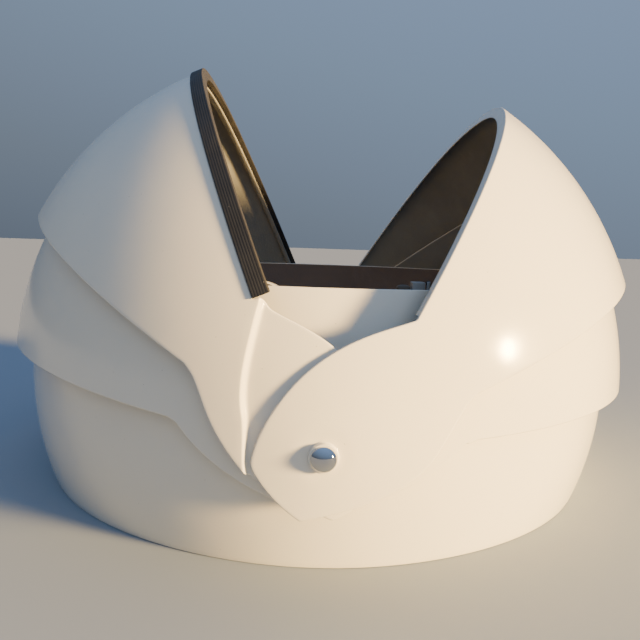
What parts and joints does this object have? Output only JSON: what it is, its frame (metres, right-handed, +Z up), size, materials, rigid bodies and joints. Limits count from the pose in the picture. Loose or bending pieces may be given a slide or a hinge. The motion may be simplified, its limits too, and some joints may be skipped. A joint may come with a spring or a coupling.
{
  "type": "clamshell observatory dome",
  "caption": "White glass-fibre clamshell observatory dome, half open: a barrel base with nested shells that turn on a level front-to-back axle under chrome hub caps.",
  "frame": {"origin": "on the ground under the middle of the dome's box, as half open", "axes": "+Z up, +Y from the front cheek to the back cheek along the hinge axis, +X to the right seen from the front"},
  "size_m": [2.035, 2.2654, 1.3251],
  "materials": {
    "white_gelcoat": "glossy white gelcoat on glass-fibre laminate",
    "seal_rubber": "ribbed black-brown rubber",
    "galvanised_steel": "zinc plated",
    "nylon": "natural nylon",
    "chrome": "polished",
    "switch_grey": "blue-grey switch housing"
  },
  "bodies": {
    "base": {"back_axle": "galvanised_steel", "back_axle_nut": "galvanised_steel", "back_base_wall": "white_gelcoat", "back_bearing": "galvanised_steel", "back_boss": "white_gelcoat", "back_cap": "chrome", "back_foot_flange": "white_gelcoat", "back_inner_spacer": "nylon", "back_long_spacer": "nylon", "back_middle_spacer": "nylon", "back_outer_spacer": "nylon", "front_axle": "galvanised_steel", "front_axle_nut": "galvanised_steel", "front_base_wall": "white_gelcoat", "front_bearing": "galvanised_steel", "front_boss": "white_gelcoat", "front_cap": "chrome", "front_foot_flange": "white_gelcoat", "front_inner_spacer": "nylon", "front_long_spacer": "nylon", "front_middle_spacer": "nylon", "front_outer_spacer": "nylon", "left_base_wall": "white_gelcoat", "left_foot_flange": "white_gelcoat", "right_base_wall": "white_gelcoat", "right_foot_flange": "white_gelcoat", "rim_strap": "white_gelcoat", "switch_box": "switch_grey", "switch_gland": "seal_rubber", "switch_lever": "seal_rubber", "switch_pad": "white_gelcoat"},
    "left_upper": {"left_upper_shell": "white_gelcoat", "left_rim_flange": "white_gelcoat", "rim_seal": "seal_rubber"},
    "right_upper": {"right_upper_shell": "white_gelcoat", "right_rim_flange": "white_gelcoat"},
    "left_middle": {"left_middle_shell": "white_gelcoat"},
    "right_middle": {"right_middle_shell": "white_gelcoat"}
  },
  "joints": [
    {"name": "left_upper_hinge", "type": "hinge", "parent": "base", "child": "left_upper", "pos_m": [-0.0032, 0, 0.331], "axis": [0, -1, 0], "range_deg": [-22.9, 45.1]},
    {"name": "right_upper_hinge", "type": "hinge", "parent": "base", "child": "right_upper", "pos_m": [-0.0032, 0, 0.331], "axis": [0, 1, 0], "range_deg": [-30.6, 37.4]},
    {"name": "left_middle_hinge", "type": "hinge", "parent": "base", "child": "left_middle", "pos_m": [-0.0032, 0, 0.331], "axis": [0, -1, 0], "range_deg": [-11.45, 22.55]},
    {"name": "right_middle_hinge", "type": "hinge", "parent": "base", "child": "right_middle", "pos_m": [-0.0032, 0, 0.331], "axis": [0, 1, 0], "range_deg": [-15.3, 18.7]}
  ],
  "couplings": [
    {"joint": "left_middle_hinge", "follows": "left_upper_hinge", "ratio": 0.5},
    {"joint": "right_middle_hinge", "follows": "right_upper_hinge", "ratio": 0.5}
  ]
}
